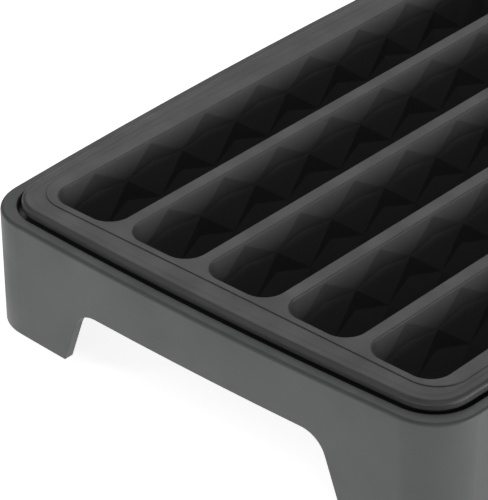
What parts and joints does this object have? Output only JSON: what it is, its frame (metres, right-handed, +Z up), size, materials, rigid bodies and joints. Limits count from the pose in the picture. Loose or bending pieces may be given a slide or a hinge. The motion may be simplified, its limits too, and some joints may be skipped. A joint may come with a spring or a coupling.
{
  "type": "bottle drying rack",
  "caption": "Low countertop bottle drying rack: long round-ended slots with faceted channel walls in a lift-out top, over a drip tray in a legged stand.",
  "frame": {"origin": "middle of the footprint, on the surface the rack stands on", "axes": "+Z up, +Y along the slots and the rack's length, +X across the slots"},
  "size_m": [0.1802, 0.2418, 0.0422],
  "materials": {
    "stand_plastic": "satin moulded, fine grain",
    "tray_plastic": "satin moulded",
    "top_plastic": "satin moulded, fine grain",
    "pad_rubber": "soft anti-slip rubber"
  },
  "bodies": {
    "stand": {"stand": "stand_plastic", "foot_pad_front_left": "pad_rubber", "foot_pad_front_right": "pad_rubber", "foot_pad_back_left": "pad_rubber", "foot_pad_back_right": "pad_rubber"},
    "tray": {"drip_tray": "tray_plastic"},
    "top": {"slotted_top": "top_plastic"}
  },
  "joints": [
    {"name": "tray_lift", "type": "slide", "parent": "stand", "child": "tray", "axis": [0, 0, 1], "range_m": [0, 0.035]},
    {"name": "top_lift", "type": "slide", "parent": "tray", "child": "top", "axis": [0, 0, 1], "range_m": [0, 0.035]}
  ]
}
